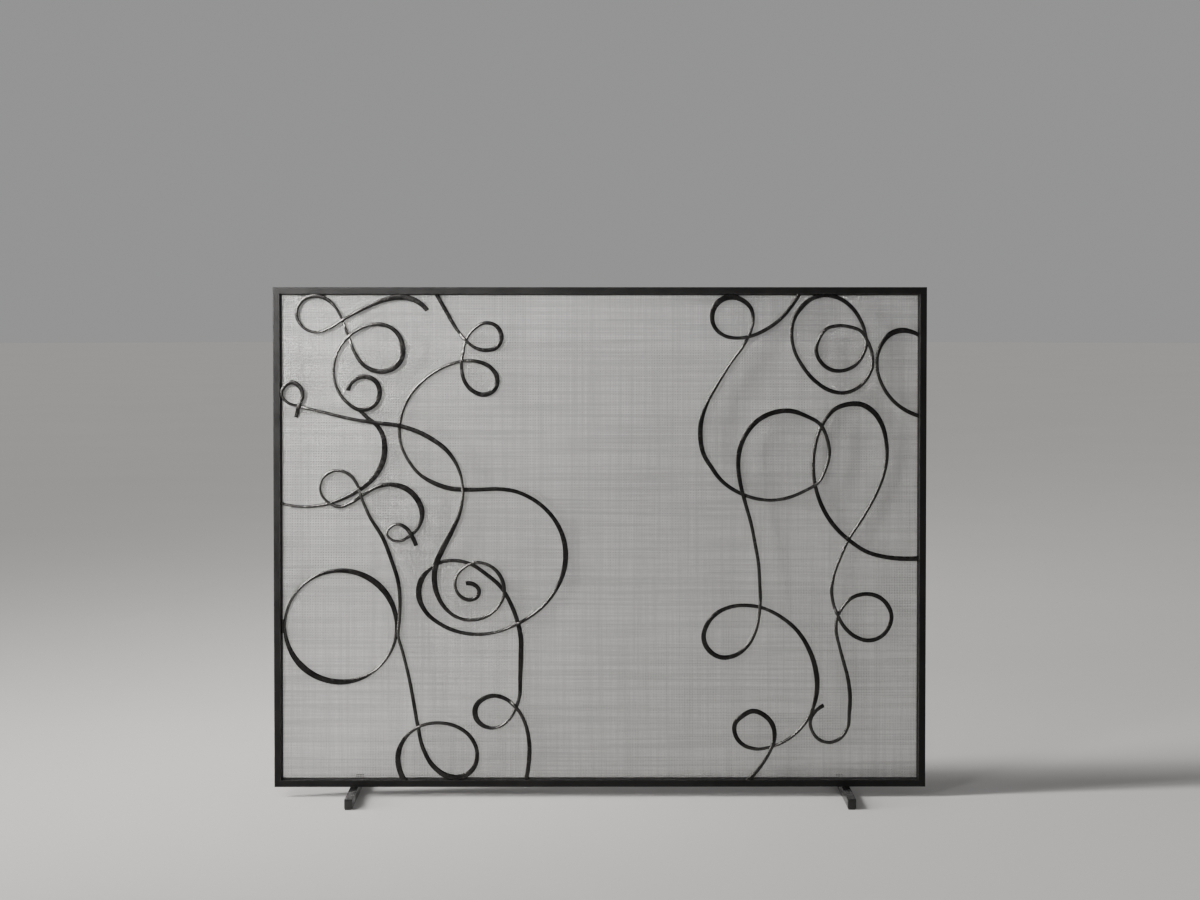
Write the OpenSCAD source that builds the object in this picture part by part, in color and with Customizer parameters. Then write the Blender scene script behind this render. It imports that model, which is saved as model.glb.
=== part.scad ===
// Free-standing fireplace screen: a mitred square-bar frame on two cross feet,
// a woven-wire panel held in folded edge channels behind it, and ten forged
// scroll bars of swelling width in front of the wire.
// X runs along the screen, +Y points to the hearth and Z is up.
// The origin is on the floor, at the middle of the footprint.

/* [Frame] */
// Overall width of the framed panel
screen_w = 1118; // [1080:2:1160]
// Height from the floor to the top of the frame
screen_h = 876; // [860:2:900]
// Side of the square frame bar
bar = 12; // [10:0.5:14]

/* [Wire panel] */
// Thickness of the woven wire cloth, two wires deep
cloth_t = 2.8; // [1.6:0.2:3]
// Thickness of the sheet that the edge channels are folded from
sheet_t = 0.8; // [0.6:0.1:1]
// How far the edge channels show inside the frame opening
channel_lip = 2; // [1:0.5:4]
// How far the edge channels lap onto the back of the frame
channel_lap = 8; // [7:0.5:9]

/* [Scroll bars] */
// Thickness of the flattened scroll bars
scroll_t = 5; // [4:0.25:5.25]
// Setback of the scroll bars from the front face of the frame
scroll_setback = 1.5; // [0.5:0.25:1.5]
// Straight steps along each stretch of a scroll bar between two of its points
steps = 4; // [3:1:6]

/* [Feet] */
// Length of a foot, from front to back
foot_l = 230; // [200:5:260]
// Width of a foot
foot_w = 14; // [12:0.5:16]
// Height of a foot without its pads
foot_h = 16; // [13:0.5:18]
// Distance of each foot from the middle of the screen
foot_x = 422; // [380:2:440]
// Thickness of the floor pads
pad_t = 2; // [1.5:0.5:3]
// Length of a floor pad
pad_l = 26; // [18:1:32]

/* [Fasteners] */
// Diameter of the screws that hold the edge channels
channel_screw_d = 3; // [2.5:0.5:3.5]
// Diameter of the screws that hold the feet
foot_screw_d = 5; // [4:0.5:6]

/* [Hidden] */

iron = [0.12, 0.11, 0.11];
wire_grey = [0.66, 0.66, 0.65];
screw_black = [0.2, 0.2, 0.2];
pad_black = [0.08, 0.08, 0.08];

frame_z = pad_t + foot_h;                    // underside of the bottom rail
open_w = screen_w - 2 * bar;
open_h = screen_h - frame_z - 2 * bar;
open_z = frame_z + bar + open_h / 2;         // middle of the opening
channel_t = cloth_t + 2 * sheet_t;
channel_y = bar / 2;                         // front of the channels, on the back of the frame
cloth_y = channel_y + sheet_t;
front_layer_y = scroll_setback - bar / 2;    // front faces of the two layers of scroll bars
rear_layer_y = front_layer_y + scroll_t;
fit = 0.05;                                  // clearance round a screw

channel_screw_line = channel_lap / 2;        // from the edge of the opening, outwards
channel_head_d = 5.5;
channel_head_h = 2;
channel_screw_l = 12;
rail_screws = [-480, -160, 160, 480];        // along the top and bottom rails
stile_screws = [-330, 0, 330];               // along the stiles, from their middle

foot_head_d = 8.5;
foot_head_h = 3;
foot_recess = 4.5;
foot_screw_grip = 8;                         // length of thread in the bottom rail
foot_chamfer = 1;
pad_inset = 1;

// The line of each scroll bar: [x, z, width] where it turns, narrows or swells.

top_left_line = [
    [-295, 836, 8], [-315, 853, 9], [-338, 859, 10], [-362, 856, 9], [-401, 841, 7],
    [-440, 820, 5.5], [-463, 806, 5.5], [-486, 799, 5], [-508, 808, 5], [-519, 830, 6],
    [-511, 851, 6.5], [-489, 861, 7.5], [-468, 856, 7], [-452, 841, 5], [-439, 815, 5],
    [-430, 791, 5], [-418, 761, 6], [-401, 740, 7], [-378, 732, 8.5], [-355, 737, 10],
    [-339, 755, 9.5], [-338, 778, 8.5], [-349, 800, 7.5], [-372, 812, 7], [-398, 810, 6],
    [-427, 794, 5.5], [-448, 767, 5.5], [-456, 736, 5.5], [-451, 706, 5], [-433, 679, 6],
    [-409, 666, 7.5], [-386, 675, 8.5], [-377, 696, 8.5], [-384, 715, 8.5],
    [-403, 723, 8.5], [-421, 717, 8.5], [-431, 699, 7.5]
];

left_spiral_line = [
    [-521, 653, 7], [-515, 673, 7], [-509, 693, 7], [-515, 707, 7.5], [-527, 713, 7.5],
    [-540, 706, 7], [-545, 694, 6], [-535, 679, 5], [-514, 672, 5], [-469, 661, 5.5],
    [-423, 650, 6], [-384, 644, 7], [-345, 639, 7.5], [-315, 630, 8], [-288, 616, 8.5],
    [-262, 596, 7.5], [-244, 569, 6], [-236, 542, 4.5], [-235, 522, 5.5], [-240, 491, 6.5],
    [-255, 456, 8.5], [-272, 423, 10], [-281, 402, 10], [-284, 377, 10], [-280, 352, 8.5],
    [-268, 329, 7], [-249, 312, 6], [-223, 305, 5.5], [-198, 310, 6], [-177, 325, 5.5],
    [-165, 348, 6], [-167, 372, 7], [-177, 389, 6.5], [-194, 401, 5.5], [-214, 404, 5],
    [-232, 396, 5.5], [-245, 382, 5.5], [-248, 362, 5], [-240, 347, 6], [-224, 340, 6.5],
    [-210, 346, 7], [-208, 358, 7], [-214, 365, 7.5], [-230, 368, 7.5]
];

left_long_line = [
    [-283, 870, 7], [-263, 834, 7], [-244, 802, 6], [-230, 785, 5], [-213, 772, 6],
    [-195, 768, 7], [-177, 773, 7.5], [-169, 790, 8.5], [-176, 808, 7.5], [-195, 815, 6],
    [-215, 805, 5.5], [-230, 784, 5.5], [-235, 761, 5.5], [-237, 736, 6], [-231, 713, 7],
    [-216, 697, 7.5], [-198, 692, 8.5], [-181, 701, 8.5], [-176, 719, 8.5],
    [-187, 738, 7.5], [-207, 748, 7], [-230, 750, 5], [-261, 742, 5.5], [-298, 720, 5.5],
    [-327, 688, 6], [-341, 654, 6], [-344, 629, 6], [-340, 603, 5], [-329, 580, 5.5],
    [-310, 556, 6], [-284, 540, 8], [-257, 531, 8.5], [-236, 529, 8], [-205, 529, 7],
    [-174, 530, 7], [-146, 526, 7], [-118, 514, 7], [-94, 496, 7], [-74, 471, 7.5],
    [-62, 442, 8.5], [-59, 418, 9.5], [-63, 386, 8.5], [-76, 356, 6.5], [-95, 331, 6],
    [-118, 312, 6], [-144, 297, 6], [-173, 285, 5], [-208, 280, 6], [-242, 284, 6.5],
    [-273, 297, 7], [-300, 320, 7.5], [-311, 347, 10], [-307, 373, 10], [-292, 393, 7.5],
    [-273, 404, 6.5], [-247, 407, 6], [-222, 401, 6.5], [-196, 384, 7], [-170, 361, 7],
    [-154, 334, 7], [-143, 306, 7.5], [-136, 274, 8.5], [-136, 241, 8.5], [-137, 205, 7.5],
    [-139, 170, 6.5], [-145, 152, 6], [-158, 131, 5.5], [-178, 119, 5], [-198, 121, 7],
    [-213, 136, 9.5], [-213, 156, 9.5], [-200, 169, 8.5], [-182, 174, 7.5], [-163, 169, 7],
    [-142, 151, 6], [-129, 127, 6], [-122, 96, 7], [-122, 64, 7.5], [-129, 22, 7.5]
];

left_arc_line = [
    [-412, 666, 7], [-398, 652, 7], [-384, 641, 7.5], [-373, 624, 8.5], [-369, 601, 10],
    [-373, 575, 10], [-387, 551, 9.5], [-411, 530, 8.5], [-440, 514, 7], [-469, 504, 6],
    [-500, 500, 5.5], [-525, 501, 5], [-556, 509, 5]
];

lower_left_line = [
    [-315, 433, 7.5], [-322, 449, 7.5], [-333, 464, 7], [-347, 470, 5], [-360, 464, 5.5],
    [-365, 454, 4.5], [-358, 444, 4.5], [-344, 441, 5], [-327, 449, 6], [-310, 467, 6.5],
    [-305, 492, 9.5], [-314, 514, 10], [-334, 532, 9.5], [-360, 538, 7.5], [-384, 533, 6.5],
    [-406, 520, 6], [-426, 507, 6], [-446, 500, 6], [-465, 507, 5], [-479, 527, 4.5],
    [-476, 547, 5.5], [-463, 559, 6], [-446, 562, 5.5], [-429, 555, 6], [-416, 538, 5.5],
    [-409, 517, 5], [-395, 484, 6], [-372, 446, 7], [-357, 407, 7], [-346, 371, 7],
    [-343, 342, 6.5], [-344, 308, 6], [-346, 279, 5], [-338, 248, 5.5], [-328, 207, 6],
    [-320, 164, 6.5], [-313, 123, 6.5], [-303, 82, 7], [-285, 52, 8.5], [-261, 36, 10],
    [-238, 35, 9.5], [-218, 49, 8.5], [-211, 73, 7], [-219, 99, 7], [-243, 120, 6.5],
    [-274, 128, 6], [-307, 123, 5.5], [-333, 104, 6.5], [-346, 77, 9.5], [-345, 50, 9.5],
    [-331, 22, 9.5]
];

// The ring: its middle, its radius, and its width at every eighth turn clockwise from the top
ring_middle = [-445, 294];
ring_r = 96;
ring_widths = [8, 11, 7, 4.5, 9.5, 11, 4.5, 5];
left_ring_line = [
    for (i = [0 : len(ring_widths) - 1])
        let (turned = 360 * i / len(ring_widths))
        [
            ring_middle[0] + ring_r * sin(turned),
            ring_middle[1] + ring_r * cos(turned),
            ring_widths[i]
        ]
];
ring_lug_h = 24;                             // short bar that joins the ring to the left stile

right_long_line = [
    [344, 870, 7], [327, 843, 7], [307, 820, 6.5], [281, 802, 6.5], [257, 792, 6],
    [233, 789, 6], [211, 794, 6.5], [196, 808, 7], [192, 829, 8.5], [201, 849, 10],
    [222, 859, 10], [243, 854, 8.5], [258, 840, 7], [262, 822, 6], [258, 801, 5.5],
    [246, 777, 5.5], [225, 748, 5.5], [202, 712, 6], [183, 677, 6.5], [173, 645, 8.5],
    [172, 617, 8.5], [178, 589, 7.5], [190, 569, 7.5], [208, 545, 7], [238, 524, 6.5],
    [266, 514, 6], [296, 511, 5.5], [325, 516, 6], [351, 527, 5.5], [375, 542, 5.5],
    [387, 565, 5.5], [393, 590, 6], [389, 617, 6], [377, 641, 6.5], [354, 655, 7],
    [327, 664, 8.5], [300, 662, 8.5], [272, 649, 8.5], [251, 626, 8.5], [239, 597, 8.5],
    [237, 567, 7.5], [242, 533, 7], [250, 503, 6.5], [259, 471, 6], [266, 436, 6],
    [272, 401, 6], [274, 369, 6], [275, 339, 6], [273, 313, 5.5], [267, 285, 5.5],
    [252, 259, 6.5], [229, 243, 7.5], [207, 241, 8], [188, 252, 8.5], [178, 273, 8.5],
    [183, 296, 8], [201, 317, 7.5], [226, 328, 6.5], [253, 330, 6.5], [281, 325, 6],
    [311, 310, 6.5], [338, 287, 7], [359, 254, 8], [370, 221, 9], [373, 191, 8.5],
    [368, 160, 7], [357, 134, 5.5], [337, 110, 5.5], [312, 93, 5.5], [290, 85, 5],
    [267, 83, 6], [246, 90, 7], [233, 106, 7.5], [232, 126, 8], [245, 140, 8.5],
    [263, 148, 8.5], [282, 141, 8.5], [297, 123, 8.5], [300, 103, 7], [293, 81, 6],
    [279, 57, 6.5], [247, 22, 7]
];

double_ring_line = [
    [387, 862, 7], [364, 857, 7.5], [344, 841, 8.5], [331, 819, 7], [328, 795, 6],
    [332, 770, 6], [348, 739, 6.5], [371, 713, 7], [394, 699, 7], [416, 695, 6.5],
    [437, 701, 6], [456, 718, 6], [466, 739, 6], [466, 761, 6], [458, 783, 6],
    [446, 801, 6], [428, 808, 6], [408, 810, 6], [387, 804, 6], [375, 787, 6],
    [370, 768, 6.5], [378, 748, 7], [395, 735, 7], [415, 733, 6.5], [435, 741, 6],
    [449, 758, 6], [456, 779, 6], [453, 801, 6], [445, 821, 6.5], [430, 842, 7],
    [411, 856, 7]
];

right_arc_line = [
    [556, 786, 5], [538, 798, 7.5], [518, 802, 9.5], [498, 796, 9.5], [482, 777, 7],
    [475, 755, 6], [476, 732, 5.5], [485, 706, 6], [502, 682, 6.5], [526, 664, 7],
    [556, 653, 7]
];

right_curls_line = [
    [556, 411, 8.5], [518, 410, 8], [489, 413, 7.5], [460, 421, 7], [430, 440, 7],
    [405, 463, 7.5], [383, 496, 7.5], [370, 533, 6.5], [366, 568, 6], [368, 597, 6],
    [375, 626, 6], [386, 648, 6.5], [403, 667, 7.5], [424, 675, 8.5], [448, 675, 9],
    [469, 662, 9.5], [484, 639, 8], [491, 611, 7], [492, 583, 6.5], [486, 552, 6],
    [473, 520, 6], [452, 482, 5.5], [427, 443, 5.5], [412, 410, 5.5], [402, 382, 5.5],
    [398, 354, 6], [402, 329, 5.5], [409, 311, 6], [421, 291, 6.5], [440, 275, 7],
    [461, 269, 7], [482, 275, 7], [496, 291, 7], [501, 310, 7], [494, 330, 7.5],
    [477, 345, 7.5], [456, 349, 7], [434, 343, 6.5], [417, 326, 5.5], [408, 309, 5.5],
    [406, 286, 6], [411, 261, 5.5], [418, 235, 6], [426, 205, 6.5], [430, 174, 7],
    [429, 146, 6.5], [426, 119, 6], [412, 99, 6], [395, 93, 5.5], [377, 98, 6],
    [365, 113, 5.5], [362, 131, 6], [370, 146, 6.5], [385, 157, 7]
];

// Smooth line through a bar's points.

function unit(v) = v / norm(v);
function place(p) = [p[0], p[1]];
function turn(v) = [-v[1], v[0]];

// Direction, at the middle point, of the circle through three points
function heading(a, b, c) =
    unit(unit(b - a) * norm(c - b) + unit(c - b) * norm(b - a));

// Direction at the other end of a circular arc that leaves along t and crosses by v
function mirrored(t, v) = 2 * (t * unit(v)) * unit(v) - t;

function direction(line, i, closed) =
    let (n = len(line), p = [for (q = line) place(q)])
    closed || (i > 0 && i < n - 1)
        ? heading(p[(i + n - 1) % n], p[i], p[(i + 1) % n])
        : i == 0
            ? mirrored(heading(p[0], p[1], p[2]), p[1] - p[0])
            : mirrored(heading(p[n - 3], p[n - 2], p[n - 1]), p[n - 1] - p[n - 2]);

// Length of the curve handle that makes a stretch follow a circular arc
function handle(t, v) = 2 * norm(v) / (3 * (1 + t * unit(v)));

function along(a, b, c, d, u) =
    a * pow(1 - u, 3) + b * 3 * u * pow(1 - u, 2) + c * 3 * u * u * (1 - u) + d * pow(u, 3);
function slope(a, b, c, d, u) =
    (b - a) * pow(1 - u, 2) + (c - b) * 2 * u * (1 - u) + (d - c) * u * u;

// Both edges of the bar, one pair of points for each step along it
function edges(line, closed) =
    let (n = len(line), stretches = closed ? n : n - 1)
    [for (i = [0 : stretches - 1])
        let (
            j = (i + 1) % n,
            a = place(line[i]),
            d = place(line[j]),
            t = direction(line, i, closed),
            s = direction(line, j, closed),
            b = a + t * handle(t, d - a),
            c = d - s * handle(s, d - a),
            last = i == stretches - 1 ? steps : steps - 1
        )
        for (k = [0 : last])
            let (
                u = k / steps,
                middle = along(a, b, c, d, u),
                side = turn(unit(slope(a, b, c, d, u))),
                half = (line[i][2] * (1 - u) + line[j][2] * u) / 2
            )
            [middle + side * half, middle - side * half]
    ];

// Flat shapes are drawn with Z as their second axis and stand up facing -Y.
module upright(y, t) {
    translate([0, y + t, 0])
        rotate([90, 0, 0])
            linear_extrude(t)
                children();
}

module opening() {
    translate([0, open_z])
        square([open_w, open_h], center = true);
}

// One scroll bar; children add flat shapes to its outline
module scroll_bar(line, y, closed = false) {
    pairs = edges(line, closed);
    color(iron)
        upright(y, scroll_t)
            offset(delta = 0)
                intersection() {
                    opening();
                    union() {
                        for (i = [1 : len(pairs) - 1])
                            polygon([pairs[i - 1][0], pairs[i][0], pairs[i][1], pairs[i - 1][1]]);
                        children();
                    }
                }
}

// Sides of the frame: bottom, right, top and left, each turned to lie along its edge.
SIDES = ["bottom", "right", "top", "left"];
function side_turn(side) = 90 * search([side], SIDES)[0];
function side_span(side) = side == "top" || side == "bottom" ? open_w : open_h;
function side_reach(side) = side == "top" || side == "bottom" ? open_h / 2 : open_w / 2;
function side_screws(side) = side == "top" || side == "bottom" ? rail_screws : stile_screws;

module on_side(side) {
    translate([0, open_z])
        rotate(side_turn(side))
            translate([0, -side_reach(side)])
                children();
}

// Strip with mitred ends, from near to far outside the edge of the opening
module strip(side, near, far) {
    half = side_span(side) / 2;
    on_side(side)
        polygon([
            [-half - far, -far], [half + far, -far], [half + near, -near], [-half - near, -near]
        ]);
}

module side_holes(side, d) {
    on_side(side)
        for (x = side_screws(side))
            translate([x, -channel_screw_line])
                circle(d = d, $fn = 32);
}

module frame_bar(side) {
    color(iron)
        difference() {
            upright(-bar / 2, bar)
                strip(side, 0, bar);
            upright(channel_y + channel_t - channel_screw_l - 0.5, bar)
                side_holes(side, channel_screw_d + 2 * fit);
        }
}

module channel(side) {
    color(iron)
        difference() {
            upright(channel_y, channel_t)
                strip(side, -channel_lip, channel_lap);
            upright(cloth_y, cloth_t)
                strip(side, -channel_lip - 1, channel_lap - sheet_t);
            upright(channel_y - 1, channel_t + 2)
                side_holes(side, channel_screw_d + 2 * fit);
        }
}

module top_rail() {
    frame_bar("top");
}

module bottom_rail() {
    color(iron)
        difference() {
            frame_bar("bottom");
            for (x = [-foot_x, foot_x])
                translate([x, 0, frame_z - 1])
                    cylinder(d = foot_screw_d + 2 * fit, h = foot_screw_grip + 1.5, $fn = 32);
        }
}

module left_stile() {
    frame_bar("left");
}

module right_stile() {
    frame_bar("right");
}

module top_channel() {
    channel("top");
}

module bottom_channel() {
    channel("bottom");
}

module left_channel() {
    channel("left");
}

module right_channel() {
    channel("right");
}

// The wire cloth as one sheet, out to the folds of the channels
module mesh_panel() {
    reach = channel_lap - sheet_t;
    color(wire_grey)
        upright(cloth_y, cloth_t)
            difference() {
                translate([0, open_z])
                    square([open_w + 2 * reach, open_h + 2 * reach], center = true);
                for (side = SIDES)
                    side_holes(side, channel_screw_d + 2 * fit);
            }
}

// Pan-head screws from the back, through the channels into the frame
module channel_screws() {
    head_y = channel_y + channel_t;
    color(screw_black)
        for (side = SIDES) {
            upright(head_y, channel_head_h)
                side_holes(side, channel_head_d);
            upright(head_y - channel_screw_l, channel_screw_l)
                side_holes(side, channel_screw_d);
        }
}

module scroll_top_left() {
    scroll_bar(top_left_line, front_layer_y);
}

module scroll_left_spiral() {
    scroll_bar(left_spiral_line, front_layer_y);
}

module scroll_left_long() {
    scroll_bar(left_long_line, rear_layer_y);
}

module scroll_left_arc() {
    scroll_bar(left_arc_line, rear_layer_y);
}

module scroll_lower_left() {
    scroll_bar(lower_left_line, front_layer_y);
}

module scroll_left_ring() {
    lug_l = ring_middle[0] - ring_r + open_w / 2;
    scroll_bar(left_ring_line, rear_layer_y, closed = true)
        translate([-open_w / 2, ring_middle[1] - ring_lug_h / 2])
            square([lug_l, ring_lug_h]);
}

module scroll_right_long() {
    scroll_bar(right_long_line, front_layer_y);
}

module scroll_double_ring() {
    scroll_bar(double_ring_line, front_layer_y, closed = true);
}

module scroll_right_arc() {
    scroll_bar(right_arc_line, rear_layer_y);
}

module scroll_right_curls() {
    scroll_bar(right_curls_line, rear_layer_y);
}

// Cross bar with eased ends and a recessed screw hole, seen from the side and from below
module foot(x) {
    half = foot_l / 2;
    color(iron)
        translate([x, 0, pad_t])
            difference() {
                translate([-foot_w / 2, 0, 0])
                    rotate([90, 0, 90])
                        linear_extrude(foot_w)
                            polygon([
                                [-half, 0], [half, 0],
                                [half, foot_h - foot_chamfer], [half - foot_chamfer, foot_h],
                                [foot_chamfer - half, foot_h], [-half, foot_h - foot_chamfer]
                            ]);
                translate([0, 0, -1])
                    cylinder(d = foot_screw_d + 2 * fit, h = foot_h + 2, $fn = 32);
                translate([0, 0, -1])
                    cylinder(d = foot_head_d + 1, h = foot_recess + 1, $fn = 32);
            }
}

module left_foot() {
    foot(-foot_x);
}

module right_foot() {
    foot(foot_x);
}

// Socket-head screws from below, through the feet into the bottom rail
module foot_screws() {
    seat_z = pad_t + foot_recess;
    color(screw_black)
        for (x = [-foot_x, foot_x])
            translate([x, 0, seat_z]) {
                cylinder(d = foot_screw_d, h = foot_h - foot_recess + foot_screw_grip, $fn = 32);
                translate([0, 0, -foot_head_h])
                    cylinder(d = foot_head_d, h = foot_head_h, $fn = 32);
            }
}

// Four rubber pads, one under each end of both feet
module foot_pads() {
    color(pad_black)
        for (x = [-foot_x, foot_x], end = [-1, 1])
            translate([x, end * (foot_l / 2 - pad_inset - pad_l / 2), pad_t / 2])
                cube([foot_w - 2 * pad_inset, pad_l, pad_t], center = true);
}

top_rail();
bottom_rail();
left_stile();
right_stile();
top_channel();
bottom_channel();
left_channel();
right_channel();
mesh_panel();
channel_screws();
scroll_top_left();
scroll_left_spiral();
scroll_left_long();
scroll_left_arc();
scroll_lower_left();
scroll_left_ring();
scroll_right_long();
scroll_double_ring();
scroll_right_arc();
scroll_right_curls();
left_foot();
right_foot();
foot_screws();
foot_pads();
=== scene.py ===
import math

import bmesh
import bpy
import numpy as np
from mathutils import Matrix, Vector


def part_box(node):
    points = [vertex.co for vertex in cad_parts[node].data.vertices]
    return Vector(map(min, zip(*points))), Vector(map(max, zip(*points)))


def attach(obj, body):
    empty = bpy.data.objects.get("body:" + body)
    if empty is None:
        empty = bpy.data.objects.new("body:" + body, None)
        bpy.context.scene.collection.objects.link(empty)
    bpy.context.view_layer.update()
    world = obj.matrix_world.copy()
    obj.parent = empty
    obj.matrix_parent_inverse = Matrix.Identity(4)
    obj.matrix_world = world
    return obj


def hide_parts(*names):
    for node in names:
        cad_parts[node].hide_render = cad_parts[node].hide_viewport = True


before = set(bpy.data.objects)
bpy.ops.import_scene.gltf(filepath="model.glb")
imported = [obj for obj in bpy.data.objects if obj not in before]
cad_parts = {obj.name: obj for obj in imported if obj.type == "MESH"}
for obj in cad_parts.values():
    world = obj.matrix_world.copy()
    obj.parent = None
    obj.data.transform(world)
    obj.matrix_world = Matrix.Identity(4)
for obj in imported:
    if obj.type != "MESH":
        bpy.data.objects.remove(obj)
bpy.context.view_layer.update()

MM = 0.001

# ---------------------------------------------------------------- places
# Millimetres: x along the screen, y towards the hearth, z up.


def box_mm(node):
    """Lowest and highest corner of a CAD node, in millimetres."""
    low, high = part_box(node)
    return np.array(low) / MM, np.array(high) / MM


def middle_of(node):
    """Middle of a CAD node, in millimetres."""
    low, high = box_mm(node)
    return (low + high) / 2


RAIL_LOW, RAIL_HIGH = box_mm("bottom_rail")
FRAME_BAR = RAIL_HIGH[2] - RAIL_LOW[2]
FRONT_Y, BACK_Y = RAIL_LOW[1], RAIL_HIGH[1]
OPEN_LEFT = box_mm("left_stile")[1][0]
OPEN_RIGHT = box_mm("right_stile")[0][0]
OPEN_LOW = RAIL_HIGH[2]
OPEN_HIGH = box_mm("top_rail")[0][2]
CLOTH_LOW, CLOTH_HIGH = box_mm("mesh_panel")
CHANNEL_LOW, CHANNEL_HIGH = box_mm("top_channel")
FRONT_LAYER_Y = middle_of("scroll_top_left")[1]
REAR_LAYER_Y = middle_of("scroll_right_curls")[1]

# ---------------------------------------------------------------- scroll bars
# Centre line of each scroll bar: x, z and width where it turns, narrows or swells.

TOP_LEFT = [
    [-295, 836, 8], [-315, 853, 9], [-338, 859, 10], [-362, 856, 9], [-401, 841, 7],
    [-440, 820, 5.5], [-463, 806, 5.5], [-486, 799, 5], [-508, 808, 5], [-519, 830, 6],
    [-511, 851, 6.5], [-489, 861, 7.5], [-468, 856, 7], [-452, 841, 5], [-439, 815, 5],
    [-430, 791, 5], [-418, 761, 6], [-401, 740, 7], [-378, 732, 8.5], [-355, 737, 10],
    [-339, 755, 9.5], [-338, 778, 8.5], [-349, 800, 7.5], [-372, 812, 7], [-398, 810, 6],
    [-427, 794, 5.5], [-448, 767, 5.5], [-456, 736, 5.5], [-451, 706, 5], [-433, 679, 6],
    [-409, 666, 7.5], [-386, 675, 8.5], [-377, 696, 8.5], [-384, 715, 8.5],
    [-403, 723, 8.5], [-421, 717, 8.5], [-431, 699, 7.5],
]

LEFT_SPIRAL = [
    [-521, 653, 7], [-515, 673, 7], [-509, 693, 7], [-515, 707, 7.5], [-527, 713, 7.5],
    [-540, 706, 7], [-545, 694, 6], [-535, 679, 5], [-514, 672, 5], [-469, 661, 5.5],
    [-423, 650, 6], [-384, 644, 7], [-345, 639, 7.5], [-315, 630, 8], [-288, 616, 8.5],
    [-262, 596, 7.5], [-244, 569, 6], [-236, 542, 4.5], [-235, 522, 5.5], [-240, 491, 6.5],
    [-255, 456, 8.5], [-272, 423, 10], [-281, 402, 10], [-284, 377, 10], [-280, 352, 8.5],
    [-268, 329, 7], [-249, 312, 6], [-223, 305, 5.5], [-198, 310, 6], [-177, 325, 5.5],
    [-165, 348, 6], [-167, 372, 7], [-177, 389, 6.5], [-194, 401, 5.5], [-214, 404, 5],
    [-232, 396, 5.5], [-245, 382, 5.5], [-248, 362, 5], [-240, 347, 6], [-224, 340, 6.5],
    [-210, 346, 7], [-208, 358, 7], [-214, 365, 7.5], [-230, 368, 7.5],
]

LEFT_LONG = [
    [-283, 870, 7], [-263, 834, 7], [-244, 802, 6], [-230, 785, 5], [-213, 772, 6],
    [-195, 768, 7], [-177, 773, 7.5], [-169, 790, 8.5], [-176, 808, 7.5], [-195, 815, 6],
    [-215, 805, 5.5], [-230, 784, 5.5], [-235, 761, 5.5], [-237, 736, 6], [-231, 713, 7],
    [-216, 697, 7.5], [-198, 692, 8.5], [-181, 701, 8.5], [-176, 719, 8.5],
    [-187, 738, 7.5], [-207, 748, 7], [-230, 750, 5], [-261, 742, 5.5], [-298, 720, 5.5],
    [-327, 688, 6], [-341, 654, 6], [-344, 629, 6], [-340, 603, 5], [-329, 580, 5.5],
    [-310, 556, 6], [-284, 540, 8], [-257, 531, 8.5], [-236, 529, 8], [-205, 529, 7],
    [-174, 530, 7], [-146, 526, 7], [-118, 514, 7], [-94, 496, 7], [-74, 471, 7.5],
    [-62, 442, 8.5], [-59, 418, 9.5], [-63, 386, 8.5], [-76, 356, 6.5], [-95, 331, 6],
    [-118, 312, 6], [-144, 297, 6], [-173, 285, 5], [-208, 280, 6], [-242, 284, 6.5],
    [-273, 297, 7], [-300, 320, 7.5], [-311, 347, 10], [-307, 373, 10], [-292, 393, 7.5],
    [-273, 404, 6.5], [-247, 407, 6], [-222, 401, 6.5], [-196, 384, 7], [-170, 361, 7],
    [-154, 334, 7], [-143, 306, 7.5], [-136, 274, 8.5], [-136, 241, 8.5], [-137, 205, 7.5],
    [-139, 170, 6.5], [-145, 152, 6], [-158, 131, 5.5], [-178, 119, 5], [-198, 121, 7],
    [-213, 136, 9.5], [-213, 156, 9.5], [-200, 169, 8.5], [-182, 174, 7.5], [-163, 169, 7],
    [-142, 151, 6], [-129, 127, 6], [-122, 96, 7], [-122, 64, 7.5], [-129, 22, 7.5],
]

LEFT_ARC = [
    [-412, 666, 7], [-398, 652, 7], [-384, 641, 7.5], [-373, 624, 8.5], [-369, 601, 10],
    [-373, 575, 10], [-387, 551, 9.5], [-411, 530, 8.5], [-440, 514, 7], [-469, 504, 6],
    [-500, 500, 5.5], [-525, 501, 5], [-556, 509, 5],
]

LOWER_LEFT = [
    [-315, 433, 7.5], [-322, 449, 7.5], [-333, 464, 7], [-347, 470, 5], [-360, 464, 5.5],
    [-365, 454, 4.5], [-358, 444, 4.5], [-344, 441, 5], [-327, 449, 6], [-310, 467, 6.5],
    [-305, 492, 9.5], [-314, 514, 10], [-334, 532, 9.5], [-360, 538, 7.5], [-384, 533, 6.5],
    [-406, 520, 6], [-426, 507, 6], [-446, 500, 6], [-465, 507, 5], [-479, 527, 4.5],
    [-476, 547, 5.5], [-463, 559, 6], [-446, 562, 5.5], [-429, 555, 6], [-416, 538, 5.5],
    [-409, 517, 5], [-395, 484, 6], [-372, 446, 7], [-357, 407, 7], [-346, 371, 7],
    [-343, 342, 6.5], [-344, 308, 6], [-346, 279, 5], [-338, 248, 5.5], [-328, 207, 6],
    [-320, 164, 6.5], [-313, 123, 6.5], [-303, 82, 7], [-285, 52, 8.5], [-261, 36, 10],
    [-238, 35, 9.5], [-218, 49, 8.5], [-211, 73, 7], [-219, 99, 7], [-243, 120, 6.5],
    [-274, 128, 6], [-307, 123, 5.5], [-333, 104, 6.5], [-346, 77, 9.5], [-345, 50, 9.5],
    [-331, 22, 9.5],
]

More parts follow.
